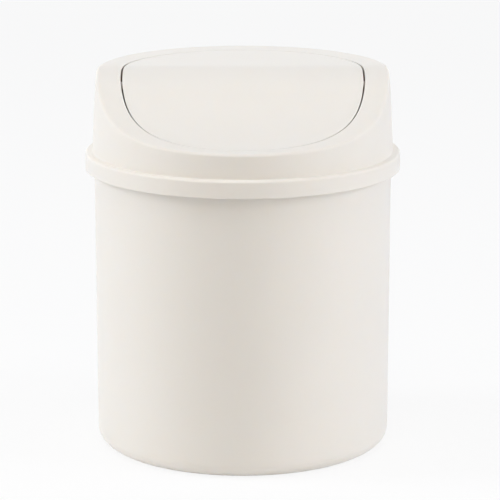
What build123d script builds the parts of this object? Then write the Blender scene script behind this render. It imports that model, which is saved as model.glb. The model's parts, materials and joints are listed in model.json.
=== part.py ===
from build123d import *
import os
from math import cos, radians, sin, sqrt

# A countertop bin with a lift-off lid and a swing flap, in millimetres.
# The bin's axis is Z and it stands on z = 0. The low front of the lid faces -Y.

# Bin
bin_radius = 65.0          # outside of the wall at the rim
bin_draft = 0.3            # how much narrower the outside is at the foot
bin_height = 129.0         # top of the rim
bin_wall = 1.8
bin_floor = 2.0            # thickness of the floor inside the foot ring
foot_round = 6.7           # radius of the rounded edge at the foot
foot_ring = 10.0           # how far the foot ring runs in from the rounded edge
foot_lift = 0.8            # how far the floor stands clear of the table
rim_reach = 1.8            # how far the rim's flange stands out of the wall
rim_thickness = 2.0
edge_break = 0.5           # rounding of thin moulded edges

# Lid shell
lid_wall = 1.8
lid_skin = 1.8             # thickness of the lid's top
ledge_thickness = 1.8      # the step that rests on the bin's rim
collar_wall = 1.8
collar_clearance = 0.4     # between the bin's rim and the collar round it
collar_drop = 5.7          # how far the collar hangs below the rim's top
collar_round = 1.0         # rounding of the collar's upper edge
wall_step = 0.7            # how far the lid's wall stands outside the bin's wall
wall_lean = 2.0            # how far the lid's wall leans in by the top
wall_bow = 0.3             # how far the leaning wall bulges out of a straight line
front_rise = 10.75         # height of the lid's wall above the ledge at the front
lid_edge_round = 1.5       # rounding where the wall meets the top

# Top surface, a side profile carried straight across the lid
lid_drop = 25.35           # how much lower the front is than the level back
crest_y = 8.0              # where the level back part ends
crest_radius = 41.6        # convex bend from the level part into the slope
slope_angle = 35.8         # steepest slope, in degrees
slope_length = 2.4         # short straight run between the two bends

# Flap and the opening that it fills
side_margin = 10.7         # from the lid's top edge to the opening, at the sides
front_margin = 6.5         # the same at the front, from the lid's wall
opening_straight = 3.6     # straight sides between the two half circles of the opening
side_gap = 0.8             # between the flap and the opening, at the sides
front_gap = 0.25
back_gap = 0.6
flap_flatten = 0.7         # how much shorter than a half circle the flap's front is
gap_break = 0.25           # rounding of the upper edges along the gap
flap_thickness = 1.8
edge_thickness = 0.6       # the flap's thinner border, which clears the opening as the flap swings
edge_step = 0.7            # width of that border
lip_thickness = 1.4        # turned-down lip round the opening
lip_depth = 4.0            # measured from the top surface
rib_inset = 2.4            # from the flap's edge to the stiffening rib under it
rib_thickness = 1.3
rib_depth = 2.6            # below the flap's underside

# Pivots
pin_radius = 2.0
pivot_clearance = 0.08     # radial, between pin and clip
pivot_drop = 0.8           # from the lid's skin down to the top of the pin's bore
pin_end_gap = 0.6          # between the pin's end and the web behind the clip
ear_radius = 3.7           # round end of the ear that carries the pin
ear_inset = 0.7            # from the flap's edge to the ear's outer face
clip_length = 5.0          # along the pin
clip_wall = 2.0            # beside the pin
clip_hook = 0.8            # how far the clip's tips reach below the pin's underside
clip_throat = 3.3          # width of the mouth that the pin snaps through
web_thickness = 1.4

# Sizes that follow
bore_radius = pin_radius + pivot_clearance
rim_radius = bin_radius + rim_reach
collar_bore = rim_radius + collar_clearance
collar_radius = collar_bore + collar_wall
collar_top = bin_height + ledge_thickness
collar_bottom = bin_height - collar_drop
lid_foot_radius = bin_radius + wall_step
lid_top_radius = lid_foot_radius - wall_lean
front_height = collar_top + front_rise
total_height = front_height + lid_drop
slope = radians(slope_angle)
hollow_radius = (lid_drop - slope_length * sin(slope)) / (1 - cos(slope)) - crest_radius
opening_radius = lid_top_radius - side_margin
opening_front_y = front_margin - lid_foot_radius
opening_back_y = opening_front_y + 2 * opening_radius + opening_straight
flap_radius = opening_radius - side_gap
flap_front_y = opening_front_y + front_gap
flap_back_y = opening_back_y - back_gap
clip_end = opening_radius + clip_length
beyond = 3 * collar_radius
overlap = 0.5              # how deep added ribs and lugs start inside the skin


def surface_height(y):
    """Height of the top surface at y: level, convex bend, straight slope, hollow, level."""
    crest_end = crest_y - crest_radius * sin(slope)
    slope_end = crest_end - slope_length * cos(slope)
    hollow_end = slope_end - hollow_radius * sin(slope)
    if y >= crest_y:
        return total_height
    if y >= crest_end:
        return total_height - crest_radius + sqrt(crest_radius**2 - (crest_y - y) ** 2)
    if y >= slope_end:
        fall = (crest_end - y) * sin(slope) / cos(slope)
        return total_height - crest_radius * (1 - cos(slope)) - fall
    if y >= hollow_end:
        return front_height + hollow_radius - sqrt(hollow_radius**2 - (y - hollow_end) ** 2)
    return front_height


def below_surface(inset):
    """All that lies deeper than inset under the top surface."""
    level = Line((beyond, total_height - inset), (crest_y, total_height - inset))
    crest = JernArc(level @ 1, level % 1, crest_radius - inset, slope_angle)
    run = Line(crest @ 1, crest @ 1 + slope_length * (crest % 1))
    hollow = JernArc(run @ 1, run % 1, hollow_radius + inset, -slope_angle)
    front = Line(hollow @ 1, (-beyond, front_height - inset))
    sides = Polyline(front @ 1, (-beyond, 0), (beyond, 0), level @ 0)
    side_view = make_face([level, crest, run, hollow, front, sides])
    return extrude(Plane.YZ * side_view, beyond, both=True)


def surface_layer(upper, lower):
    """The layer between two depths under the top surface."""
    return below_surface(upper) - below_surface(lower)


def opening_prism(grow):
    """Block that fills the opening, two half circles and straight sides, grown on all sides."""
    outline = SlotCenterToCenter(opening_straight, 2 * (opening_radius + grow), rotation=90)
    return extrude(Pos(0, (opening_front_y + opening_back_y) / 2) * outline, total_height + overlap)


def flap_prism(inset):
    """Block on the flap's outline, half ellipse, straight sides and half circle, shrunk on all sides."""
    radius = flap_radius - inset
    depth = radius - flap_flatten
    front = EllipticalCenterArc((0, flap_front_y + inset + depth), radius, depth, 180, arc_size=180)
    back = CenterArc((0, flap_back_y - inset - radius), radius, 0, 180)
    sides = [Line(front @ 1, back @ 0), Line(back @ 1, front @ 0)]
    return extrude(make_face([front, back, *sides]), total_height + overlap)


def turned(section):
    """Solid of revolution about Z from a section drawn as radius and height."""
    return revolve(Plane.XZ * section, Axis.Z)


def corner_at(section, radius, height):
    """The section's corner nearest to a point."""
    return section.vertices().sort_by_distance((radius, height))[0]


def outer_edges(solid):
    """Edges where the top surface meets the wall or the opening."""
    found = []
    for edge in solid.edges():
        middle = edge @ 0.5
        along_x = edge.geom_type == GeomType.LINE and abs((edge % 0.5).X) > 0.99
        if not along_x and abs(middle.Z - surface_height(middle.Y)) < 0.01:
            found.append(edge)
    return found


def both_sides(solid):
    """The solid and its mirror image on the other side of the lid."""
    return solid + mirror(solid, Plane.YZ)


def lid_wall_face(inset, bottom):
    """Half section of the leaning, slightly bowed wall, filled to the axis."""
    foot = (lid_foot_radius - inset, collar_top)
    top = (lid_top_radius - inset, total_height)
    bulge_radius = (foot[0] + top[0]) / 2 + wall_bow
    bulge = (bulge_radius, (collar_top + total_height) / 2)
    lean = ThreePointArc(foot, bulge, top)
    above = Polyline(top, (top[0], total_height + overlap), (0, total_height + overlap))
    close = Polyline(above @ 1, (0, bottom), (foot[0], bottom), foot)
    return make_face([lean, above, close])


def make_bin_body():
    """Cup with a rounded foot, a raised floor and a flange round its mouth."""
    foot_radius = bin_radius - bin_draft
    outside = make_face(
        Polyline((0, 0), (foot_radius, 0), (bin_radius, bin_height), (0, bin_height), close=True)
    )
    outside = fillet(corner_at(outside, foot_radius, 0), foot_round)
    floor_top = foot_lift + bin_floor
    mouth = bin_height + overlap
    inside = make_face(
        Polyline(
            (0, floor_top),
            (foot_radius - bin_wall, floor_top),
            (bin_radius - bin_wall, mouth),
            (0, mouth),
            close=True,
        )
    )
    inside = fillet(corner_at(inside, foot_radius - bin_wall, floor_top), foot_round - bin_wall)
    rim_inner = bin_radius - bin_wall / 2
    rim = make_face(
        Polyline(
            (rim_inner, bin_height - rim_thickness),
            (rim_radius, bin_height - rim_thickness),
            (rim_radius, bin_height),
            (rim_inner, bin_height),
            close=True,
        )
    )
    recess_radius = foot_radius - foot_round - foot_ring
    recess = Pos(recess_radius / 2, foot_lift / 2) * Rectangle(recess_radius, foot_lift)
    section = outside + rim - inside - recess
    rim_corners = [
        corner_at(section, rim_radius, bin_height),
        corner_at(section, rim_radius, bin_height - rim_thickness),
        corner_at(section, bin_radius - bin_wall, bin_height),
        corner_at(section, recess_radius, 0),
    ]
    return turned(fillet(rim_corners, edge_break))


def make_flap_plate():
    """The flap's skin and the rib that runs round under it."""
    border = flap_prism(0) & surface_layer(0, edge_thickness)
    border = fillet(outer_edges(border), gap_break)
    plate = flap_prism(edge_step) & surface_layer(edge_thickness / 2, flap_thickness)
    rib = flap_prism(rib_inset) - flap_prism(rib_inset + rib_thickness)
    rib = rib & surface_layer(flap_thickness - overlap, flap_thickness + rib_depth)
    return border + plate + rib


def make_swing_flap(plate, pivot_y, pivot_z):
    """The flap with an ear and a pin on each side, on one axis over its centre of mass."""
    ear_face = flap_radius - ear_inset
    ear_thickness = rib_inset - ear_inset + rib_thickness / 2
    neck_top = surface_height(pivot_y) - flap_thickness + overlap
    ear_side = Pos(pivot_y, pivot_z) * Circle(ear_radius)
    neck = Pos(pivot_y, (pivot_z + neck_top) / 2) * Rectangle(2 * ear_radius, neck_top - pivot_z)
    ear = extrude(Plane.YZ.offset(ear_face) * (ear_side + neck), -ear_thickness)
    ear = ear & below_surface(flap_thickness - overlap)
    pin_length = clip_end - pin_end_gap - ear_face + ear_thickness / 2
    pin_start = Plane.YZ.offset(ear_face - ear_thickness / 2)
    pin = extrude(pin_start * Pos(pivot_y, pivot_z) * Circle(pin_radius), pin_length)
    pin = chamfer(pin.faces().sort_by(Axis.X)[-1].edges(), edge_break)
    return plate + both_sides(ear + pin)


def make_clip(inside, pivot_y, pivot_z):
    """Snap clip that holds a pin from above, with a web that ties it to the lid's wall."""
    clip_low = pivot_z - pin_radius - clip_hook
    clip_high = surface_height(pivot_y) - lid_skin + overlap
    clip_height = clip_high - clip_low
    clip_middle = (clip_high + clip_low) / 2
    clip_size = (clip_length, 2 * (bore_radius + clip_wall), clip_height)
    clip = Pos(opening_radius + clip_length / 2, pivot_y, clip_middle) * Box(*clip_size)
    web_start = clip_end - overlap
    web_size = (lid_foot_radius - web_start, web_thickness, clip_height)
    web = Pos((lid_foot_radius + web_start) / 2, pivot_y, clip_middle) * Box(*web_size)
    bore_start = Plane.YZ.offset(flap_radius)
    bore_length = clip_end - flap_radius
    bore = extrude(bore_start * Pos(pivot_y, pivot_z) * Circle(bore_radius), bore_length)
    throat_depth = pivot_z - clip_low + overlap
    throat = Pos(clip_end - bore_length / 2, pivot_y, pivot_z - throat_depth / 2)
    throat = throat * Box(bore_length, clip_throat, throat_depth)
    solid = (clip + web) & inside & below_surface(lid_skin - overlap)
    return solid, bore + throat


def make_lid_ring(pivot_y, pivot_z):
    """Lid shell: collar, ledge, leaning wall and a sloping top with the flap's opening."""
    dome = turned(lid_wall_face(0, bin_height)) & below_surface(0)
    dome = fillet(outer_edges(dome), lid_edge_round)
    core = turned(lid_wall_face(lid_wall, bin_height - overlap)) & below_surface(lid_skin)
    shell = dome - core - opening_prism(0)
    shell = fillet(outer_edges(shell), gap_break)
    collar = make_face(
        Polyline(
            (lid_foot_radius - lid_wall, bin_height),
            (collar_bore, bin_height),
            (collar_bore, collar_bottom),
            (collar_radius, collar_bottom),
            (collar_radius, collar_top),
            (lid_foot_radius - lid_wall, collar_top),
            close=True,
        )
    )
    collar = fillet(corner_at(collar, collar_radius, collar_top), collar_round)
    low_corners = [
        corner_at(collar, collar_radius, collar_bottom),
        corner_at(collar, collar_bore, collar_bottom),
    ]
    collar = fillet(low_corners, edge_break)
    lip = opening_prism(lip_thickness) - opening_prism(0)
    lip = lip & surface_layer(lid_skin - overlap, lip_depth)
    inside = turned(lid_wall_face(lid_wall / 2, bin_height))
    clip, socket = make_clip(inside, pivot_y, pivot_z)
    return shell + turned(collar) + lip + both_sides(clip) - both_sides(socket)


flap_plate = make_flap_plate()
pivot_y = flap_plate.center(CenterOf.MASS).Y
pivot_z = surface_height(pivot_y) - lid_skin - pivot_drop - bore_radius

os.makedirs("parts", exist_ok=True)
export_step(make_bin_body(), "parts/bin_body.step")
export_step(make_lid_ring(pivot_y, pivot_z), "parts/lid_ring.step")
export_step(make_swing_flap(flap_plate, pivot_y, pivot_z), "parts/swing_flap.step")
print("hollow radius", round(hollow_radius, 2), "total height", round(total_height, 2))
print("pivot y", round(pivot_y, 3), "z", round(pivot_z, 3))
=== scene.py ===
import json
import math

import bmesh
import bpy
import numpy as np
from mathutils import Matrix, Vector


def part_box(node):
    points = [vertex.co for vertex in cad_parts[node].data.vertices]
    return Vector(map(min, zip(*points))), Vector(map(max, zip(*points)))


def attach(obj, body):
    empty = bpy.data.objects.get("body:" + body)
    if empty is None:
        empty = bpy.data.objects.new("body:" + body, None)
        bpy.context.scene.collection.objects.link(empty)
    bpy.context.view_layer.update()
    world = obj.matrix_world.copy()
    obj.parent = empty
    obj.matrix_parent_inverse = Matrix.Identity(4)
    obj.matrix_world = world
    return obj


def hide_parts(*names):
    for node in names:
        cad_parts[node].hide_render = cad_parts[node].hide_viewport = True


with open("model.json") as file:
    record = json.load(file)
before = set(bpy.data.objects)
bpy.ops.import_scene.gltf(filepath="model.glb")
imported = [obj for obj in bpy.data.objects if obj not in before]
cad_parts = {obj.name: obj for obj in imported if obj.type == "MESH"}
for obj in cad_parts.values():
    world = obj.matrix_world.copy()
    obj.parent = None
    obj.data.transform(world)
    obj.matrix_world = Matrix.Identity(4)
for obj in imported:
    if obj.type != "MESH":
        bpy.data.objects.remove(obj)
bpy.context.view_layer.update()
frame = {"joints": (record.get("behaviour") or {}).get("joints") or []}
mm = 0.001                    # in metres; the pieces' sizes are in millimetres, the stage's in metres

# outer sizes come from the frame, in millimetres
binCorner = np.array(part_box("bin_body")[1]) / mm
lidLow, lidHigh = (np.array(corner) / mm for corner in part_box("lid_ring"))
flapCorner = np.array(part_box("swing_flap")[1]) / mm
swing = next(joint for joint in frame["joints"] if joint["name"] == "flap_swing")
pivotY, pivotZ = (value / mm for value in swing["pos_m"][1:])


# curves worked out as arrays

def sweepNormals(start, end, steps):
    # unit vectors turned evenly from one direction to another
    dot = np.clip((start * end).sum(-1, keepdims=True), -1, 1)
    angle = np.arccos(dot)
    for share in np.linspace(0, 1, steps):
        yield (np.sin((1 - share) * angle) * start + np.sin(share * angle) * end) / np.sin(angle)


def between(first, last, shares):
    # rows of points on straight lines from one row to another
    return [first + (last - first) * share for share in shares]


def roundedProfile(corners, steps=7):
    # open line through corners (radius, height, rounding), each rounded by an arc
    points = []
    for index, (x, z, rounding) in enumerate(corners):
        here = np.array([x, z], float)
        if rounding == 0 or index in (0, len(corners) - 1):
            points.append(here)
            continue
        before = np.array(corners[index - 1][:2], float) - here
        after = np.array(corners[index + 1][:2], float) - here
        before, after = before / np.linalg.norm(before), after / np.linalg.norm(after)
        half = math.acos(np.clip(before @ after, -1, 1)) / 2
        centre = here + (before + after) / np.linalg.norm(before + after) * rounding / math.sin(half)
        start = here + before * rounding / math.tan(half) - centre
        end = here + after * rounding / math.tan(half) - centre
        points += [centre + arm * rounding for arm in sweepNormals(start / rounding, end / rounding, steps)]
    return np.array(points)


def withSupport(points, reach=0.25):
    # runs over four times reach long get a point that far from each end and one halfway, which keeps
    # the shading of flats flat
    rows = [points[0]]
    for first, last in zip(points[:-1], points[1:]):
        length = np.linalg.norm(last - first)
        if length > 4 * reach:
            rows += between(first, last, (reach / length, 0.5, 1 - reach / length))
        rows.append(last)
    return np.array(rows)


def shrunk(outline, distance):
    # a closed outline moved inwards: each corner goes along the mean of its two edges' normals
    edge = np.roll(outline, -1, axis=0) - outline
    edge = edge / np.linalg.norm(edge, axis=1, keepdims=True)
    area = (outline[:, 0] * np.roll(outline[:, 1], -1) - outline[:, 1] * np.roll(outline[:, 0], -1)).sum()
    inwards = np.column_stack([-edge[:, 1], edge[:, 0]]) * np.sign(area)
    mean = inwards + np.roll(inwards, 1, axis=0)
    return outline + distance * 2 * mean / (mean**2).sum(axis=1, keepdims=True)


# meshes

meshLimits = {
    "samePlace": 1e-7,        # points nearer than this are one, in metres
    "noLength": 1e-8,         # edges shorter than this are dropped
    "crispTurn": 40,          # edges that turn by more degrees than this stay crisp
}


def meshFromRows(name, rows, closed):
    # a grid of rows, each a closed ring of points; closed joins the last row to the first
    rows = np.array(rows)
    count, stations = rows.shape[:2]
    index = np.arange(count * stations).reshape(count, stations)
    following = np.roll(index, -1, axis=1)
    above = np.roll(index, -1, axis=0) if closed else index[1:]
    nextAbove = np.roll(above, -1, axis=1)
    lower = slice(None) if closed else slice(None, -1)
    faces = np.stack([index[lower], following[lower], nextAbove, above], -1).reshape(-1, 4)
    return newMesh(name, rows.reshape(-1, 3), faces.tolist())


def newMesh(name, points, faces):
    # doubles are merged, so that poles and seams close, and faces turned outwards
    mesh = bpy.data.meshes.new(name)
    mesh.from_pydata((points * mm).tolist(), [], faces)
    shape = bmesh.new()
    shape.from_mesh(mesh)
    bmesh.ops.remove_doubles(shape, verts=shape.verts, dist=meshLimits["samePlace"])
    bmesh.ops.dissolve_degenerate(shape, edges=shape.edges, dist=meshLimits["noLength"])
    bmesh.ops.recalc_face_normals(shape, faces=shape.faces)
    shape.to_mesh(mesh)
    shape.free()
    return newPiece(name, mesh)


def newPiece(name, mesh):
    # puts a mesh into the scene at the origin
    piece = bpy.data.objects.new(name, mesh)
    bpy.context.scene.collection.objects.link(piece)
    return piece


def smoothed(mesh):
    # rounded faces are shaded as one, and sharp edges stay crisp
    mesh.polygons.foreach_set("use_smooth", np.ones(len(mesh.polygons), bool))
    mesh.set_sharp_from_angle(angle=math.radians(meshLimits["crispTurn"]))


def lathe(name, profile, stations, axis="z", origin=(0, 0)):
    # an open profile of (radius, height) turned about Z, or about the pivot line along X
    angles = np.linspace(0, 2 * math.pi, stations, endpoint=False)
    rows = []
    for radius, height in profile:
        across, up = radius * np.cos(angles), radius * np.sin(angles)
        if axis == "z":
            rows.append(np.column_stack([across, up, np.full(stations, height)]))
        else:
            rows.append(np.column_stack([np.full(stations, height), across + origin[0], up + origin[1]]))
    return meshFromRows(name, rows, closed=False)


def extrudedAlongX(name, outline, start, end, soft=0.0, steps=5):
    # a closed outline in (y, z) carried along X; soft rounds both ends with quarter circles, along which
    # the outline shrinks by soft * (1 - sin) while it moves in by soft * (1 - cos)
    outline = np.asarray(outline, float)
    quarter = np.linspace(0, math.pi / 2, steps) if soft else np.zeros(1)
    places = start + soft * (1 - np.cos(quarter))
    places = np.concatenate([places, end - (places - start)[::-1]])
    insets = soft * (1 - np.sin(quarter))
    rings = [shrunk(outline, inset) for inset in (*insets, *insets[::-1])]
    rows = [np.column_stack([np.full(len(outline), x), ring]) for x, ring in zip(places, rings)]
    points = np.concatenate(rows)
    index = np.arange(len(points)).reshape(len(places), -1)
    following = np.roll(index, -1, axis=1)
    sides = np.stack([index[:-1], following[:-1], following[1:], index[1:]], -1).reshape(-1, 4)
    return newMesh(name, points, [*sides.tolist(), index[0].tolist(), index[-1].tolist()])


def mirrored(piece):
    # the same piece on the other side: x changes sign, and the faces are turned back outwards
    mesh = piece.data.copy()
    points = np.empty(3 * len(mesh.vertices))
    mesh.vertices.foreach_get("co", points)
    points[0::3] *= -1
    mesh.vertices.foreach_set("co", points)
    mesh.flip_normals()
    return newPiece(piece.name + "_left", mesh)


def joined(piece, operation, *others):
    # welds the others into the piece, or cuts them out of it, and removes them
    for other in others:
        boolean = piece.modifiers.new(operation, "BOOLEAN")
        boolean.operation = operation
        boolean.solver = "EXACT"
        boolean.object = other
    bpy.context.view_layer.update()
    result = bpy.data.meshes.new_from_object(piece.evaluated_get(bpy.context.evaluated_depsgraph_get()))
    piece.modifiers.clear()
    piece.data = result
    for other in others:
        bpy.data.objects.remove(other)


# materials

class Signal:
    # a node's output that +, - and * work on: each adds a Math node
    def __init__(self, finish, socket):
        self.finish = finish
        self.socket = socket

    def mathNode(self, operation, first, second):
        # the operation on the two values, as a new signal
        return self.finish.node("ShaderNodeMath", {"operation": operation}, {0: first, 1: second})

    def __add__(self, other):
        return self.mathNode("ADD", self, other)

    def __sub__(self, other):
        return self.mathNode("SUBTRACT", self, other)

    def __mul__(self, other):
        return self.mathNode("MULTIPLY", self, other)


class Finish:
    # the node tree of a material or of the world
    def __init__(self, owner):
        owner.use_nodes = True
        self.tree = owner.node_tree
        self.tree.nodes.clear()

    def node(self, kind, settings=None, sockets=None, output=0):
        # adds a node: its settings first, then values or links for its sockets
        made = self.tree.nodes.new(kind)
        for key, value in (settings or {}).items():
            setattr(made, key, value)
        for key, value in (sockets or {}).items():
            if isinstance(value, Signal):
                self.tree.links.new(value.socket, made.inputs[key])
            else:
                made.inputs[key].default_value = value
        return Signal(self, made.outputs[output]) if len(made.outputs) else None

    def noise(self, place, scale, detail, roughness):
        # a cloudy pattern with so many features to the metre, and how much finer detail lies on it
        return self.node(
            "ShaderNodeTexNoise",
            None,
            {"Vector": place, "Scale": scale, "Detail": detail, "Roughness": roughness},
        )

    def blend(self, factor, first, second):
        # the first colour at factor 0 and the second at 1; sockets 6 and 7 are the node's colours
        return self.node(
            "ShaderNodeMix",
            {"data_type": "RGBA"},
            {0: factor, 6: first, 7: second},
            output=2,
        )


plasticLook = {
    "colour": (0.868, 0.835, 0.780, 1),
    "shade": (0.850, 0.812, 0.752, 1),
    # patterns: scale, detail and roughness of a noise
    "cloud": (22.0, 3.0, 0.5),     # soft tone drift, about 45 mm across
    "grain": (2600.0, 2.0, 0.6),   # mould texture, about 0.4 mm
    "ripple": (38.0, 1.0, 0.3),    # faint shrinkage ripple, about 26 mm across
    "smudge": (88.0, 4.0, 0.6),    # patches that shine a little more or less, about 11 mm across
    "shift": (1.0, 0.7, -1.0),     # direction in which each piece's patterns are moved by its seed
    "cloudInColour": 0.8,
    "grainInColour": 0.2,
    "roughness": 0.46,
    "smudgeInRoughness": 0.10,
    "grainInRoughness": 0.08,
    "grainHeight": 0.000012,       # in metres
    "rippleHeight": 0.00006,
    "specular": 0.4,
    "refraction": 1.49,
    "glow": 0.35,                  # share of light that scatters inside the plastic
    "glowTint": (1.0, 0.85, 0.7),
    "glowDepth": 0.0011,
}


def mouldedPlastic(name, seed, look=plasticLook):
    # warm white polypropylene: slow tone drift, fine mould texture and a faint shrinkage ripple; a
    # noise less its middle, 0.5, makes the roughness swing both ways
    material = bpy.data.materials.new(name)
    finish = Finish(material)
    objectPlace = finish.node("ShaderNodeTexCoord", output="Object")
    shift = tuple(seed * part for part in look["shift"])
    place = finish.node("ShaderNodeMapping", None, {"Vector": objectPlace, "Location": shift})
    cloud, grain, ripple, smudge = (
        finish.noise(place, *look[pattern]) for pattern in ("cloud", "grain", "ripple", "smudge")
    )
    tone = cloud * look["cloudInColour"] + grain * look["grainInColour"]
    colour = finish.blend(tone, look["shade"], look["colour"])
    uneven = (smudge - 0.5) * look["smudgeInRoughness"] + (grain - 0.5) * look["grainInRoughness"]
    rough = uneven + look["roughness"]
    waved = finish.node(
        "ShaderNodeBump",
        None,
        {"Strength": 1.0, "Distance": look["rippleHeight"], "Height": ripple},
    )
    bump = finish.node(
        "ShaderNodeBump",
        None,
        {"Strength": 1.0, "Distance": look["grainHeight"], "Height": grain, "Normal": waved},
    )
    shader = finish.node(
        "ShaderNodeBsdfPrincipled",
        None,
        {
            "Base Color": colour,
            "Roughness": rough,
            "Specular IOR Level": look["specular"],
            "IOR": look["refraction"],
            "Subsurface Weight": look["glow"],
            "Subsurface Radius": look["glowTint"],
            "Subsurface Scale": look["glowDepth"],
            "Normal": bump,
        },
    )
    finish.node("ShaderNodeOutputMaterial", None, {"Surface": shader})
    return material


def dress(piece, body, material, slotName, *nodes):
    # finishes a piece: shading, material, the body that it rides on and the nodes that it stands for
    smoothed(piece.data)
    piece.data.materials.clear()
    piece.data.materials.append(material)
    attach(piece, body)
    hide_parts(*nodes)
    print(piece.name, "made:", len(piece.data.polygons), "faces")


binShape = {
    "wall": 1.8,
    "floor": 2.0,
    "draft": 0.3,
    "footRound": 6.7,
    "footRing": 10.0,
    "footLift": 0.8,
    "flange": 2.0,           # thickness of the rim's flange
    "rimReach": 1.8,
    "fineRound": 0.5,
    "arcSteps": 9,
    "stations": 256,
}
binHeight = binCorner[2]
binRadius = binCorner[0] - binShape["rimReach"]


def makeBin():
    # one turned profile: inside floor and wall, flanged rim, outside wall, rounded foot, recess
    shape = binShape
    foot = binRadius - shape["draft"]
    floorTop = shape["footLift"] + shape["floor"]
    recess = foot - shape["footRound"] - shape["footRing"]
    corners = [
        (0, floorTop, 0),
        (foot - shape["wall"], floorTop, shape["footRound"] - shape["wall"]),
        (binRadius - shape["wall"], binHeight, shape["fineRound"]),
        (binRadius + shape["rimReach"], binHeight, shape["fineRound"]),
        (binRadius + shape["rimReach"], binHeight - shape["flange"], shape["fineRound"]),
        (binRadius, binHeight - shape["flange"], shape["fineRound"]),
        (foot, 0, shape["footRound"]),
        (recess, 0, shape["fineRound"]),
        (recess - shape["footLift"], shape["footLift"], shape["fineRound"]),
        (0, shape["footLift"], 0),
    ]
    profile = withSupport(roundedProfile(corners, shape["arcSteps"]))
    return lathe("bin_cup", profile, shape["stations"])


dress(makeBin(), "bin", mouldedPlastic("bin plastic", seed=0.0), "bin_plastic", "bin_body")


lidShape = {
    "ledge": 1.8,            # thickness of the step on the bin's rim
    "wallStep": 1.1,         # lid wall's foot, in from the bin's flange
    "wall": 1.8,
    "skin": 1.8,
    "wallLean": 2.0,
    "wallBow": 0.3,
    "frontRise": 10.75,      # wall height at the front
    "edgeRound": 1.5,
    "footRound": 0.5,        # hollow corner between wall and ledge
    "footArc": 0.49,         # its arc, a little less, so that it ends inside the wall's lowest run
    "collarWall": 1.8,
    "collarRound": 1.0,
    "seatRound": 0.2,        # inner corners at the step that sits on the rim
    "innerRise": 1.0,        # upright foot of the inside wall
    "innerRound": 0.8,
    "fineRound": 0.5,
    "lipWall": 1.4,
    "lipDepth": 4.0,
    "lipRound": 0.3,
    # how finely it is meshed
    "stations": 320,
    "settleRounds": 8,
    "openingSteps": 6,       # rows round each arc
    "edgeSteps": 12,
    "collarSteps": 7,
    "innerSteps": 6,
    "lipSteps": 5,
    # shares of the way along each run, close to its ends so that flats stay flat
    "topShares": (0.02, 0.15, 0.3, 0.5, 0.7, 0.85, 0.98),
    "wallShares": (0.02, 0.12, 0.25, 0.4, 0.55, 0.7, 0.85, 0.97, 1.0),
    "insideShares": (0.05, 0.25, 0.5, 0.75, 0.95),
    "ceilingShares": (0.04, 0.5, 0.96),
    "lipShares": (0.1, 0.5, 0.9),
}
surfaceShape = {             # side profile of the top, carried straight across
    "crestY": 8.0,
    "crestRadius": 41.6,
    "slopeAngle": 35.8,
    "slopeLength": 2.4,
}
openingShape = {             # two half circles and straight sides
    "sideMargin": 10.7,      # from the lid's top edge
    "frontMargin": 6.5,      # from the lid's wall
    "straight": 3.6,
    "edgeRound": 0.25,
}

totalHeight = lidHigh[2]
collarRadius = lidHigh[0]
ledgeTop = binHeight + lidShape["ledge"]
lidFoot = binCorner[0] - lidShape["wallStep"]
lidTop = lidFoot - lidShape["wallLean"]
frontHeight = ledgeTop + lidShape["frontRise"]
slope = math.radians(surfaceShape["slopeAngle"])
hollowRadius = totalHeight - frontHeight - surfaceShape["slopeLength"] * math.sin(slope)
hollowRadius = hollowRadius / (1 - math.cos(slope)) - surfaceShape["crestRadius"]
openingRadius = lidTop - openingShape["sideMargin"]
frontCentre = openingShape["frontMargin"] - lidFoot + openingRadius
backCentre = frontCentre + openingShape["straight"]


def surfaceAt(y, inset=0.0):
    # the top's side profile at depth inset: level, arc, straight, arc, level;
    # returns the height and the slope's angle
    crest = surfaceShape["crestRadius"] - inset
    hollow = hollowRadius + inset
    crestEnd = surfaceShape["crestY"] - crest * math.sin(slope)
    slopeEnd = crestEnd - surfaceShape["slopeLength"] * math.cos(slope)
    hollowEnd = slopeEnd - hollow * math.sin(slope)
    onCrest = np.clip((surfaceShape["crestY"] - y) / crest, 0, math.sin(slope))
    onHollow = np.clip((y - hollowEnd) / hollow, 0, math.sin(slope))
    run = np.clip(crestEnd - y, 0, crestEnd - slopeEnd)
    height = totalHeight - inset - crest * (1 - np.sqrt(1 - onCrest**2)) - run * math.tan(slope)
    height = height - hollow * (np.sqrt(1 - onHollow**2) - math.cos(slope))
    angle = np.where(y > slopeEnd, np.arcsin(onCrest), np.arcsin(onHollow))
    return height, angle


def surfaceNormal(y):
    # unit normal of the top, leaning towards the front by the slope's angle
    angle = surfaceAt(y)[1]
    return np.stack([np.zeros_like(angle), -np.sin(angle), np.cos(angle)], -1)


def onSurface(plan, inset=0.0):
    # plan points lifted to the top surface, or to a depth under it
    return np.column_stack([plan[:, :2], surfaceAt(plan[:, 1], inset)[0]])


def wallRadius(height):
    # the leaning wall is an arc through its foot, a bowed middle and its top
    chord = math.hypot(totalHeight - ledgeTop, lidShape["wallLean"])
    radius = (chord / 2) ** 2 / (2 * lidShape["wallBow"]) + lidShape["wallBow"] / 2
    middle = (ledgeTop + totalHeight) / 2
    share = (np.asarray(height, float) - middle) / (totalHeight - ledgeTop)
    bow = np.sqrt(radius**2 - (share * chord) ** 2) - radius + lidShape["wallBow"]
    return (lidFoot + lidTop) / 2 - share * lidShape["wallLean"] + bow


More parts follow.
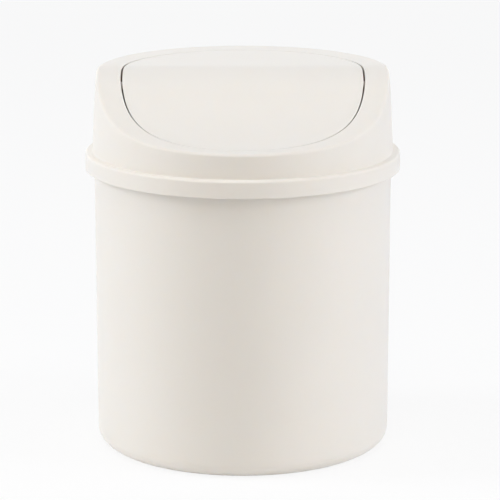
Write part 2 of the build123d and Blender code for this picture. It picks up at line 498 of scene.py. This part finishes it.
def outlineOnRays(angles, grow):
    # where rays from the axis cross the opening's outline grown by some distance, and its normals
    # there: the straight sides, or a half circle about the front or back centre
    radius = openingRadius + grow
    steepest, narrowest = 1.5, 1e-6  # keep rays that run along Y away from dividing by nothing
    sideY = radius * np.tan(np.clip(np.arcsin(np.sin(angles)), -steepest, steepest))
    centre = np.where(sideY > backCentre, backCentre, np.where(sideY < frontCentre, frontCentre, 0))
    straight = (sideY <= backCentre) & (sideY >= frontCentre)
    reach = centre * np.sin(angles) + np.sqrt(radius**2 - (centre * np.cos(angles)) ** 2)
    reach = np.where(straight, radius / np.maximum(np.abs(np.cos(angles)), narrowest), reach)
    plan = np.column_stack([reach * np.cos(angles), reach * np.sin(angles)])
    middle = np.clip(plan[:, 1], frontCentre, backCentre)
    normal = np.column_stack([plan[:, 0], plan[:, 1] - middle, np.zeros(len(plan))]) / radius
    return plan, normal


def makeLidShell():
    # a closed ring: each station is a half plane through the axis, and the rows run round its section
    shape = lidShape
    stations = shape["stations"]
    angles = np.linspace(0, 2 * math.pi, stations, endpoint=False)
    ray = np.column_stack([np.cos(angles), np.sin(angles), np.zeros(stations)])

    def onRay(radius, height):
        # points at a distance from the axis and a height, one for each station
        return np.column_stack([ray[:, :2] * np.reshape(radius, (-1, 1)), np.broadcast_to(height, stations)])

    def insideBoth(fromWall, fromTop):
        # line at one distance inside the wall and another under the top, found by turns
        height = np.full(stations, totalHeight)
        for _ in range(shape["settleRounds"]):
            reach = wallRadius(height) - fromWall
            height = surfaceAt(reach * np.sin(angles), fromTop)[0]
        return onRay(reach, height)

    # opening's upper edge, the top, its rounded outer edge and the wall
    upper = openingShape["edgeRound"]
    plan, normal = outlineOnRays(angles, upper)
    centre = onSurface(plan, upper)
    rows = [
        centre + upper * turn
        for turn in sweepNormals(-normal, surfaceNormal(plan[:, 1]), shape["openingSteps"])
    ]
    lipStart = rows[0]
    centre = insideBoth(shape["edgeRound"], shape["edgeRound"])
    turns = sweepNormals(surfaceNormal(centre[:, 1]), ray, shape["edgeSteps"])
    edge = [centre + shape["edgeRound"] * turn for turn in turns]
    rows += [onSurface(row) for row in between(rows[-1], edge[0], shape["topShares"])]
    rows += edge
    low = ledgeTop + shape["footRound"]
    for height in between(edge[-1][:, 2], low, shape["wallShares"]):
        rows.append(onRay(wallRadius(height), height))

    # ledge, collar and the step that sits on the bin's rim
    fine, seat = shape["fineRound"], shape["seatRound"]
    innerFoot = binHeight + shape["innerRise"]
    collar = [
        (lidFoot, low, 0),
        (lidFoot, ledgeTop, shape["footArc"]),
        (collarRadius, ledgeTop, shape["collarRound"]),
        (collarRadius, lidLow[2], fine),
        (collarRadius - shape["collarWall"], lidLow[2], fine),
        (collarRadius - shape["collarWall"], binHeight, seat),
        (lidFoot - shape["wall"], binHeight, seat),
        (lidFoot - shape["wall"], innerFoot, 0),
    ]
    for radius, height in withSupport(roundedProfile(collar, shape["collarSteps"]))[1:]:
        rows.append(onRay(np.full(stations, radius), height))

    # inside of the wall, its rounded corner and the ceiling
    inner = shape["innerRound"]
    centre = insideBoth(shape["wall"] + inner, shape["skin"] + inner)
    turns = sweepNormals(ray, surfaceNormal(centre[:, 1]), shape["innerSteps"])
    corner = [centre + inner * turn for turn in turns]
    for height in between(innerFoot, corner[0][:, 2], shape["insideShares"]):
        rows.append(onRay(wallRadius(height) - shape["wall"], height))
    rows += corner
    lipPlan, lipNormal = outlineOnRays(angles, shape["lipWall"])
    ceiling = onSurface(lipPlan, shape["skin"])
    rows += [onSurface(row, shape["skin"]) for row in between(corner[-1], ceiling, shape["ceilingShares"])]
    rows.append(ceiling)

    # lip that turns down round the opening, back to the first row
    soft = shape["lipRound"]
    outPlan = outlineOnRays(angles, shape["lipWall"] - soft)[0]
    inPlan = outlineOnRays(angles, soft)[0]
    down = -surfaceNormal(outPlan[:, 1])
    outer = onSurface(outPlan, shape["lipDepth"] - soft)
    innerRow = onSurface(inPlan, shape["lipDepth"] - soft)
    outerArc = [outer + soft * turn for turn in sweepNormals(lipNormal, down, shape["lipSteps"])]
    innerArc = [innerRow + soft * turn for turn in sweepNormals(down, -normal, shape["lipSteps"])]
    rows += between(ceiling, outerArc[0], shape["ceilingShares"]) + outerArc + innerArc
    rows += between(innerArc[-1], lipStart, shape["lipShares"])
    return meshFromRows("lid_shell", rows, closed=True)


def underTop(front, back, inset=1.1, count=9):
    # points from back to front on a line that follows the top, at a depth inside its skin
    y = np.linspace(back, front, count)
    return np.column_stack([y, surfaceAt(y, inset)[0]]).tolist()


clipShape = {
    "length": 5.0,
    "wall": 2.0,              # beside the bore
    "pinRadius": 2.0,         # of the flap's pin, which snaps in
    "clearance": 0.08,
    "hook": 0.8,              # how far its tips reach below the pin
    "throat": 3.3,            # width of the mouth that the pin snaps through
    "cornerRound": 0.6,       # lower corners
    "cornerDip": 0.18,        # how far in from both sides the middle of their arc lies
    "edgeRound": 0.4,
    "web": 1.4,
    "webRise": 0.5,           # its lower edge above the clip's
    "webInClip": 0.2,         # how far it reaches into the clip, and into the lid's wall
    "webInWall": 0.5,
    "flareRise": 0.4,         # where the mouth begins to widen
    "flareReach": 0.5,        # by how much it has widened at its end
    "flareBelow": 0.2,
    "socketBefore": 1.0,      # how far the cut starts before the clip
    "socketPast": 0.05,       # how far it runs past the clip, so that no two faces coincide
    "boreSteps": 41,
}
boreRadius = clipShape["pinRadius"] + clipShape["clearance"]
clipLow = pivotZ - clipShape["pinRadius"] - clipShape["hook"]


def makeClip():
    # block under the skin with rounded lower corners, and a web from it to the lid's wall
    shape = clipShape
    start = openingRadius
    end = start + shape["length"]
    half = boreRadius + shape["wall"]
    rounding, dip = shape["cornerRound"], shape["cornerDip"]
    corners = [(half, rounding), (half - dip, dip), (half - rounding, 0)]
    right = [(pivotY + across, clipLow + up) for across, up in corners[::-1]]
    left = [(pivotY - across, clipLow + up) for across, up in corners]
    outline = [*underTop(pivotY - half, pivotY + half), *left, *right]
    clip = extrudedAlongX("clip", outline, start, end, shape["edgeRound"])
    half = shape["web"] / 2
    low = clipLow + shape["webRise"]
    web = [*underTop(pivotY - half, pivotY + half), (pivotY - half, low), (pivotY + half, low)]
    wallAt = wallRadius(pivotZ) - lidShape["wall"] + shape["webInWall"]
    return clip, extrudedAlongX("clipWeb", web, end - shape["webInClip"], wallAt)


def makeSocket():
    # keyhole that the pin snaps into: a round bore with a straight mouth below it, flared at its end
    shape = clipShape
    half = shape["throat"] / 2
    mouth = math.asin(half / boreRadius)
    turn = np.linspace(1.5 * math.pi - mouth, -0.5 * math.pi + mouth, shape["boreSteps"])
    bore = np.column_stack([pivotY + boreRadius * np.cos(turn), pivotZ + boreRadius * np.sin(turn)])
    flareEnd = (half + shape["flareReach"], clipLow - shape["flareBelow"])
    flare = [(half, clipLow + shape["flareRise"]), flareEnd]
    right = [(pivotY + across, up) for across, up in flare]
    left = [(pivotY - across, up) for across, up in flare[::-1]]
    outline = [*left, *bore.tolist(), *right]
    start = openingRadius - shape["socketBefore"]
    end = openingRadius + shape["length"] + shape["socketPast"]
    return extrudedAlongX("socket", outline, start, end)


shell = makeLidShell()
clipParts = makeClip()
joined(shell, "UNION", *clipParts, *[mirrored(part) for part in clipParts])
socket = makeSocket()
joined(shell, "DIFFERENCE", socket, mirrored(socket))
dress(shell, "lid", mouldedPlastic("lid plastic", seed=3.1), "lid_plastic", "lid_ring")


flapShape = {
    "thickness": 1.8,
    "sideGap": 0.8,          # between the flap and its opening
    "frontGap": 0.25,
    "backGap": 0.6,
    "flatten": 0.7,          # how much shorter than a half circle its front is
    "edgeRound": 0.25,
    "edgeThickness": 0.6,    # thinner border, which clears the opening as the flap swings
    "edgeStep": 0.7,
    "ribInset": 2.4,
    "ribWall": 1.3,
    "ribDepth": 2.6,
    "fineRound": 0.3,
    "earRadius": 3.7,
    "earInset": 0.7,
    "earRound": 0.4,
    "pinChamfer": 0.5,
    # how finely it is meshed
    "stations": 144,          # round each half
    "sidePoints": 2,          # between the halves, on each straight side
    "topShares": np.linspace(0, 0.93, 20),   # of the way from the middle line to the outline
    "underShares": np.linspace(0.9, 0, 14),
    "topInsets": (2.4, 1.2),  # rows near the top's edge, in from the outline
    "edgeLead": 0.15,         # rows this far from a corner keep the flats beside it flat
    "stepLead": 0.05,
    "underLead": 0.2,
    "ribLead": 0.1,
    "topSteps": 7,            # rows round each arc
    "arcSteps": 5,
    "earSteps": 25,
    "pinStations": 48,
}
flapRadius = openingRadius - flapShape["sideGap"]


def flapStations():
    # round the flap: unit normals, the points on its middle line that they spring from, and the arms
    # from there to its outline: a half ellipse at the front, straight sides, a half circle at the back
    count, points = flapShape["stations"], flapShape["sidePoints"]
    half = np.linspace(0, math.pi, count)
    side = np.linspace(0, 1, points + 2)[1:-1]
    turns = np.concatenate([half - math.pi, np.zeros(points), half, np.full(points, math.pi)])
    front = frontCentre + flapShape["frontGap"] - flapShape["sideGap"] - flapShape["flatten"]
    back = backCentre - flapShape["backGap"] + flapShape["sideGap"]
    run = front + (back - front) * side
    middle = np.concatenate([np.full(count, front), run, np.full(count, back), run[::-1]])
    normal = np.column_stack([np.cos(turns), np.sin(turns), np.zeros(len(turns))])
    anchor = np.column_stack([np.zeros(len(turns)), middle, np.zeros(len(turns))])
    arm = normal * flapRadius
    arm[:count, 1] *= 1 - flapShape["flatten"] / flapRadius
    return normal, anchor, arm


def makeFlapPlate():
    # rows are the outline shrunk step by step: top from its middle to the edge, round the edge and
    # under its thin border, then the underside with its rib back to the middle
    shape = flapShape
    normal, anchor, arm = flapStations()

    def part(share, depth):
        # the outline drawn in to a share of its arms
        return onSurface(anchor + arm * share, depth)

    def ring(inset, depth):
        # the outline moved in by the same distance all round
        return onSurface(anchor + arm - normal * inset, depth)

    def roundAt(inset, depth, rounding, first, last, steps=shape["arcSteps"]):
        # an arc about a ring, from one direction to another
        middle = ring(inset, depth)
        return [middle + rounding * turn for turn in sweepNormals(first(middle), last(middle), steps)]

    # directions in which an arc starts or ends, at the points of a row
    def up(row):
        return surfaceNormal(row[:, 1])

    def down(row):
        return -surfaceNormal(row[:, 1])

    def outward(row):
        return normal

    def inward(row):
        return -normal

    edge, fine = shape["edgeRound"], shape["fineRound"]
    rows = [part(share, 0) for share in shape["topShares"]]
    rows += [ring(inset, 0) for inset in (*shape["topInsets"], edge + shape["edgeLead"])]
    rows += roundAt(edge, edge, edge, up, outward, shape["topSteps"])
    step, thin, lead = shape["edgeStep"], shape["edgeThickness"], shape["stepLead"]
    rows += roundAt(edge, thin - edge, edge, outward, down)
    rows += [ring(step - lead, thin), ring(step, thin + lead)]
    rib, under, lead = shape["ribInset"], shape["thickness"], shape["ribLead"]
    bottom = under + shape["ribDepth"]
    rows += roundAt(step + fine, under - fine, fine, outward, down)
    rows += [ring(step + fine + shape["underLead"], under), ring(rib - lead, under)]
    rows.append(ring(rib, under + lead))
    rows += roundAt(rib + fine, bottom - fine, fine, outward, down)
    rows += roundAt(rib + shape["ribWall"] - fine, bottom - fine, fine, down, inward)
    inside = rib + shape["ribWall"]
    rows += [ring(inside, under + lead), ring(inside + lead, under)]
    rows += [part(share, under) for share in shape["underShares"]]
    return meshFromRows("flap_plate", rows, closed=False)


def makeEar():
    # U-shaped ear under the flap's edge, and the round pin that stands out of it
    shape = flapShape
    face = flapRadius - shape["earInset"]
    thickness = shape["ribInset"] - shape["earInset"] + shape["ribWall"] / 2
    reach = shape["earRadius"]
    turn = np.linspace(math.pi, 2 * math.pi, shape["earSteps"])
    below = np.column_stack([pivotY + reach * np.cos(turn), pivotZ + reach * np.sin(turn)])
    outline = [*underTop(pivotY - reach, pivotY + reach), *below.tolist()]
    ear = extrudedAlongX("ear", outline, face - thickness, face, shape["earRound"])
    tip, radius, chamfer = flapCorner[0], clipShape["pinRadius"], shape["pinChamfer"]
    start = face - thickness / 2
    pinProfile = [(0, start), (radius, start), (radius, tip - chamfer), (radius - chamfer, tip), (0, tip)]
    return ear, lathe("pin", pinProfile, shape["pinStations"], "x", (pivotY, pivotZ))


plate = makeFlapPlate()
earParts = makeEar()
joined(plate, "UNION", *earParts, *[mirrored(part) for part in earParts])
dress(plate, "flap", mouldedPlastic("flap plastic", seed=7.7), "flap_plastic", "swing_flap")


# stage, light and camera

stageSetup = {
    "floorSize": 8.0,
    "floorColour": (0.92, 0.92, 0.92, 1),
    "floorGlow": 0.85,        # share of plain white that the camera sees in the floor
    "white": (1, 1, 1, 1),
    "worldColour": (1.0, 0.93, 0.9, 1),
    "worldStrength": 0.06,
    "backgroundRays": ("Is Camera Ray", "Is Glossy Ray", "Is Transmission Ray"),
    "aimHeight": 0.09,        # of the point that the lamps and the camera are placed about
}
lamps = {
    # name: azimuth and elevation from the front in degrees, distance, width, height, watts, colour, and
    # whether the plastic mirrors it: the strips would burn out the lid's top as seen from the sides
    "leftStrip": (-90, 12, 2.5, 0.7, 2.3, 44.0, (0.917, 0.949, 1.0), False),
    "rightStrip": (90, 12, 2.5, 0.7, 2.3, 17.5, (0.879, 0.916, 1.0), False),
    "rightFrontStrip": (70, 12, 2.5, 0.7, 2.3, 29.2, (0.922, 0.943, 1.0), False),
    "leftHighPanel": (-80, 45, 1.6, 1.2, 1.0, 3.3, (1.0, 0.992, 1.0), True),
    "topPanel": (0, 89.9, 1.6, 1.6, 1.6, 9.6, (0.85, 0.918, 1.0), True),
    "topFrontPanel": (0, 60, 1.6, 1.2, 1.0, 5.3, (1.0, 0.955, 0.921), True),
    "frontPanel": (0, 25, 1.8, 1.6, 1.0, 4.3, (1.0, 0.862, 0.647), True),
    "backPanel": (180, 3, 2.4, 2.1, 0.75, 5.0, (1.0, 1.0, 1.0), True),
    "backStrip": (180, 3, 2.4, 1.0, 0.75, 14.0, (0.93, 0.955, 1.0), False),
}
cameraSetup = {
    "distance": 1.2,          # from the bin's axis at aimHeight
    "elevation": 13.07,       # degrees above that point
    "pitch": 13.28,           # degrees below level
    "azimuth": -0.5,          # degrees from the front of the lid
    "yaw": 0.155,             # degrees to the right
    "pixelsPerMetre": 2262.0,  # at that distance, in a frame of frameSize pixels
    "frameSize": 500,
    "sensorWidth": 36.0,      # in millimetres
    "nearest": 0.05,          # what is nearer than this isn't seen
}


def backgroundRays(finish):
    # 1 for what is seen directly, in a reflection or through glass, and 0 for light that falls on things
    kinds = [finish.node("ShaderNodeLightPath", output=name) for name in stageSetup["backgroundRays"]]
    return kinds[0] + kinds[1] + kinds[2]


def addFloor():
    # a square of white paper that the camera sees lighter than the lamps make it
    half = stageSetup["floorSize"] / 2
    corners = [(-half, -half, 0), (half, -half, 0), (half, half, 0), (-half, half, 0)]
    mesh = bpy.data.meshes.new("floor")
    mesh.from_pydata(corners, [], [(0, 1, 2, 3)])
    floor = bpy.data.objects.new("floor", mesh)
    bpy.context.scene.collection.objects.link(floor)
    material = bpy.data.materials.new("floor paper")
    finish = Finish(material)
    paper = finish.node("ShaderNodeBsdfDiffuse", None, {"Color": stageSetup["floorColour"]})
    white = finish.node("ShaderNodeEmission", None, {"Color": stageSetup["white"], "Strength": 1.0})
    seen = backgroundRays(finish) * stageSetup["floorGlow"]
    both = finish.node("ShaderNodeMixShader", None, {0: seen, 1: paper, 2: white})
    finish.node("ShaderNodeOutputMaterial", None, {"Surface": both})
    mesh.materials.append(material)


def addWorld():
    # white where it is seen, and a faint warm light where it falls on things
    world = bpy.data.worlds.new("studio")
    bpy.context.scene.world = world
    finish = Finish(world)
    soft = finish.node(
        "ShaderNodeBackground",
        None,
        {"Color": stageSetup["worldColour"], "Strength": stageSetup["worldStrength"]},
    )
    white = finish.node("ShaderNodeBackground", None, {"Color": stageSetup["white"], "Strength": 1.0})
    both = finish.node("ShaderNodeMixShader", None, {0: backgroundRays(finish), 1: soft, 2: white})
    finish.node("ShaderNodeOutputWorld", None, {"Surface": both})


def placeRound(azimuth, elevation, distance):
    # a point at a distance from the middle of the bin, turned from the front and raised, in radians
    reach = distance * math.cos(elevation)
    height = stageSetup["aimHeight"] + distance * math.sin(elevation)
    return (reach * math.sin(azimuth), -reach * math.cos(azimuth), height)


def addLamps():
    # each lamp faces the middle of the bin from its own direction
    for name, (azimuth, elevation, distance, width, height, power, colour, mirrored) in lamps.items():
        light = bpy.data.lights.new(name, "AREA")
        light.shape = "RECTANGLE"
        light.size = width
        light.size_y = height
        light.energy = power
        light.color = colour
        lamp = bpy.data.objects.new(name, light)
        bpy.context.scene.collection.objects.link(lamp)
        turn, rise = math.radians(azimuth), math.radians(elevation)
        lamp.location = placeRound(turn, rise, distance)
        lamp.rotation_euler = (math.pi / 2 - rise, 0, turn)
        lamp.visible_glossy = mirrored


def addCamera():
    # focal length = sensor width * pixels per metre * distance / pixels across the frame
    view = cameraSetup
    camera = bpy.data.cameras.new("camera")
    camera.sensor_width = view["sensorWidth"]
    camera.lens = view["pixelsPerMetre"] * view["distance"] / view["frameSize"] * view["sensorWidth"]
    camera.clip_start = view["nearest"]
    eye = bpy.data.objects.new("camera", camera)
    bpy.context.scene.collection.objects.link(eye)
    turn, rise = math.radians(view["azimuth"]), math.radians(view["elevation"])
    eye.location = placeRound(turn, rise, view["distance"])
    eye.rotation_euler = (math.radians(90 - view["pitch"]), 0, turn - math.radians(view["yaw"]))
    bpy.context.scene.camera = eye


addFloor()
addWorld()
addLamps()
addCamera()
bpy.context.scene.view_settings.view_transform = "Standard"
print("stage ready")
